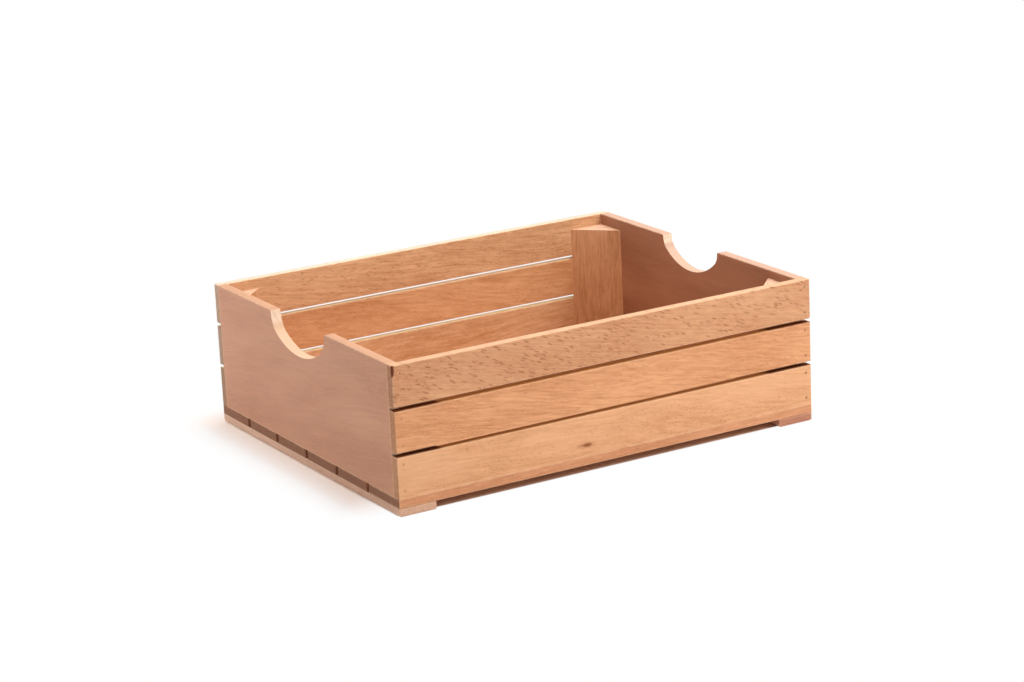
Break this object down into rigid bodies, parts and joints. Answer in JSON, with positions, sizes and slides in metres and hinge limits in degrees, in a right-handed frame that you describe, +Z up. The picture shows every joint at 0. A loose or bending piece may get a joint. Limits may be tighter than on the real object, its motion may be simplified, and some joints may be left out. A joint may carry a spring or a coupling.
{
  "type": "wooden apple crate",
  "caption": "Open-topped beech crate with slatted sides and base, solid ends notched for a hand, triangular corner posts and foot battens.",
  "frame": {"origin": "on the floor, under the middle of the crate", "axes": "+X along the crate, from the left end in the picture to the right; +Y from the front side to the back; +Z up"},
  "size_m": [0.4, 0.32, 0.125],
  "materials": {
    "side_boards": "planed and sanded, unfinished",
    "end_boards": "planed and sanded, unfinished",
    "base_boards": "planed and sanded, unfinished",
    "post_wood": "planed and sanded, unfinished",
    "foot_wood": "planed and sanded, unfinished",
    "brad_steel": "bright steel brads, heads set just under the surface"
  },
  "bodies": {
    "root": {"left_end_panel": "end_boards", "right_end_panel": "end_boards", "front_top_slat": "side_boards", "front_middle_slat": "side_boards", "front_bottom_slat": "side_boards", "back_top_slat": "side_boards", "back_middle_slat": "side_boards", "back_bottom_slat": "side_boards", "base_slat_1": "base_boards", "base_slat_2": "base_boards", "base_slat_3": "base_boards", "base_slat_4": "base_boards", "base_slat_5": "base_boards", "base_slat_6": "base_boards", "front_left_post": "post_wood", "front_right_post": "post_wood", "back_left_post": "post_wood", "back_right_post": "post_wood", "left_foot_batten": "foot_wood", "right_foot_batten": "foot_wood", "front_left_brads": "brad_steel", "front_right_brads": "brad_steel", "back_left_brads": "brad_steel", "back_right_brads": "brad_steel", "left_base_brads": "brad_steel", "right_base_brads": "brad_steel", "left_foot_brads": "brad_steel", "right_foot_brads": "brad_steel"}
  },
  "joints": []
}
